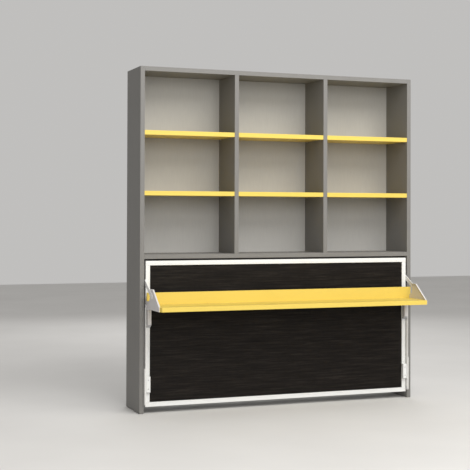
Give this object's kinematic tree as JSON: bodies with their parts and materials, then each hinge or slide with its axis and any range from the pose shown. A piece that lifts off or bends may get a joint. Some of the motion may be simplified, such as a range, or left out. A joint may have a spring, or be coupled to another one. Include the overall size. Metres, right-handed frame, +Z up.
{
  "type": "horizontal wall bed with bookcase and desk",
  "caption": "Horizontal fold-down wall bed with an open bookcase above it and a desk on its front that stays level and slides under the bed as it opens.",
  "frame": {"origin": "middle of the width, in the plane of the cabinet's front edges, on the floor (the desk reaches as far in front of that plane as the cabinet does behind it)", "axes": "+X to the right as seen from the front, +Y back to the wall, +Z up; bed closed at rest"},
  "size_m": [2.04, 0.65, 2.307],
  "materials": {
    "grey_board": "matt warm grey melamine board",
    "yellow_board": "matt yellow lacquered board",
    "dark_panel": "near-black brown textured board, matt",
    "pale_board": "light warm grey thin board",
    "white_metal": "satin white powder coat",
    "pale_metal": "light grey powder coat",
    "zinc": "zinc plated",
    "chrome": "polished",
    "black_metal": "satin black",
    "brass": "plain bearing bush",
    "grey_plastic": "matt",
    "white_plastic": "matt",
    "black_rubber": "matt",
    "birch": "bent laminated birch",
    "ticking": "woven mattress cover",
    "webbing": "woven elastic webbing"
  },
  "bodies": {
    "cabinet": {"side_panel_left": "grey_board", "side_panel_right": "grey_board", "top_panel": "grey_board", "bed_top_board": "grey_board", "divider_left": "grey_board", "divider_right": "grey_board", "rear_rail_upper": "grey_board", "rear_rail_lower": "grey_board", "back_panel": "pale_board", "shelf_lower_left": "yellow_board", "shelf_lower_middle": "yellow_board", "shelf_lower_right": "yellow_board", "shelf_upper_left": "yellow_board", "shelf_upper_middle": "yellow_board", "shelf_upper_right": "yellow_board", "shelf_pins": "zinc", "cam_fittings": "zinc", "levelling_glides": "grey_plastic", "hinge_plates": "pale_metal", "hinge_plate_screws": "zinc", "cabinet_pivot_pins": "zinc", "closing_stops": "pale_metal", "stop_buffers": "black_rubber", "strut_anchors": "pale_metal"},
    "bed": {"frame_top_rail": "white_metal", "frame_bottom_rail": "white_metal", "frame_upright_left": "white_metal", "frame_upright_right": "white_metal", "frame_end_caps": "white_plastic", "front_panel": "dark_panel", "front_panel_clips": "zinc", "slats": "birch", "slat_holders": "grey_plastic", "centre_beam": "pale_metal", "mattress": "ticking", "mattress_straps": "webbing", "mattress_guards": "black_metal", "pivot_covers": "white_metal", "pivot_cover_screws": "zinc", "pivot_bushes": "brass", "frame_pivot_pins": "zinc", "leg_lugs": "pale_metal", "strut_brackets": "pale_metal"},
    "desk": {"desktop": "yellow_board", "desk_backboard": "yellow_board", "desk_end_plate_left": "pale_metal", "desk_end_plate_right": "pale_metal", "desk_arms": "pale_metal", "desk_screws": "zinc", "desk_link_pins": "zinc"},
    "link_left": {"link_left": "pale_metal"},
    "link_right": {"link_right": "pale_metal"},
    "leg_left": {"leg_left": "pale_metal", "leg_foot_left": "grey_plastic"},
    "leg_right": {"leg_right": "pale_metal", "leg_foot_right": "grey_plastic"},
    "strut_barrel_left": {"gas_strut_barrel_left": "black_metal"},
    "strut_barrel_right": {"gas_strut_barrel_right": "black_metal"},
    "strut_rod_left": {"gas_strut_rod_left": "chrome"},
    "strut_rod_right": {"gas_strut_rod_right": "chrome"}
  },
  "joints": [
    {"name": "bed_fold", "type": "hinge", "parent": "cabinet", "child": "bed", "pos_m": [0, 0.015, 0.235], "axis": [1, 0, 0], "range_deg": [0, 90]},
    {"name": "desk_pivot", "type": "hinge", "parent": "bed", "child": "desk", "pos_m": [0, 0.015, 0.875], "axis": [1, 0, 0], "range_deg": [-90, 0]},
    {"name": "link_left_pivot", "type": "hinge", "parent": "cabinet", "child": "link_left", "pos_m": [-0.9835, -0.012, 0.075], "axis": [1, 0, 0], "range_deg": [0, 90]},
    {"name": "link_right_pivot", "type": "hinge", "parent": "cabinet", "child": "link_right", "pos_m": [0.9835, -0.012, 0.075], "axis": [1, 0, 0], "range_deg": [0, 90]},
    {"name": "leg_left_pivot", "type": "hinge", "parent": "bed", "child": "leg_left", "pos_m": [-0.963, -0.019, 0.771], "axis": [1, 0, 0], "range_deg": [-90, 0]},
    {"name": "leg_right_pivot", "type": "hinge", "parent": "bed", "child": "leg_right", "pos_m": [0.963, -0.019, 0.771], "axis": [1, 0, 0], "range_deg": [-90, 0]},
    {"name": "strut_left_swing", "type": "hinge", "parent": "cabinet", "child": "strut_barrel_left", "pos_m": [-0.966, 0.13, 0.69], "axis": [1, 0, 0], "range_deg": [-4.9, 0]},
    {"name": "strut_left_slide", "type": "slide", "parent": "strut_barrel_left", "child": "strut_rod_left", "axis": [0, -0.0829, -0.9966], "range_m": [-0.11925, 0]},
    {"name": "strut_right_swing", "type": "hinge", "parent": "cabinet", "child": "strut_barrel_right", "pos_m": [0.966, 0.13, 0.69], "axis": [1, 0, 0], "range_deg": [-4.9, 0]},
    {"name": "strut_right_slide", "type": "slide", "parent": "strut_barrel_right", "child": "strut_rod_right", "axis": [0, -0.0829, -0.9966], "range_m": [-0.11925, 0]}
  ],
  "couplings": [
    {"joint": "desk_pivot", "follows": "bed_fold", "ratio": -1},
    {"joint": "link_left_pivot", "follows": "bed_fold", "ratio": 1},
    {"joint": "link_right_pivot", "follows": "bed_fold", "ratio": 1},
    {"joint": "leg_left_pivot", "follows": "bed_fold", "ratio": -1},
    {"joint": "leg_right_pivot", "follows": "bed_fold", "ratio": -1},
    {"joint": "strut_left_swing", "follows": "bed_fold", "ratio": -0.05447},
    {"joint": "strut_left_slide", "follows": "bed_fold", "m_per_rad": -0.07591},
    {"joint": "strut_right_swing", "follows": "bed_fold", "ratio": -0.05447},
    {"joint": "strut_right_slide", "follows": "bed_fold", "m_per_rad": -0.07591}
  ]
}
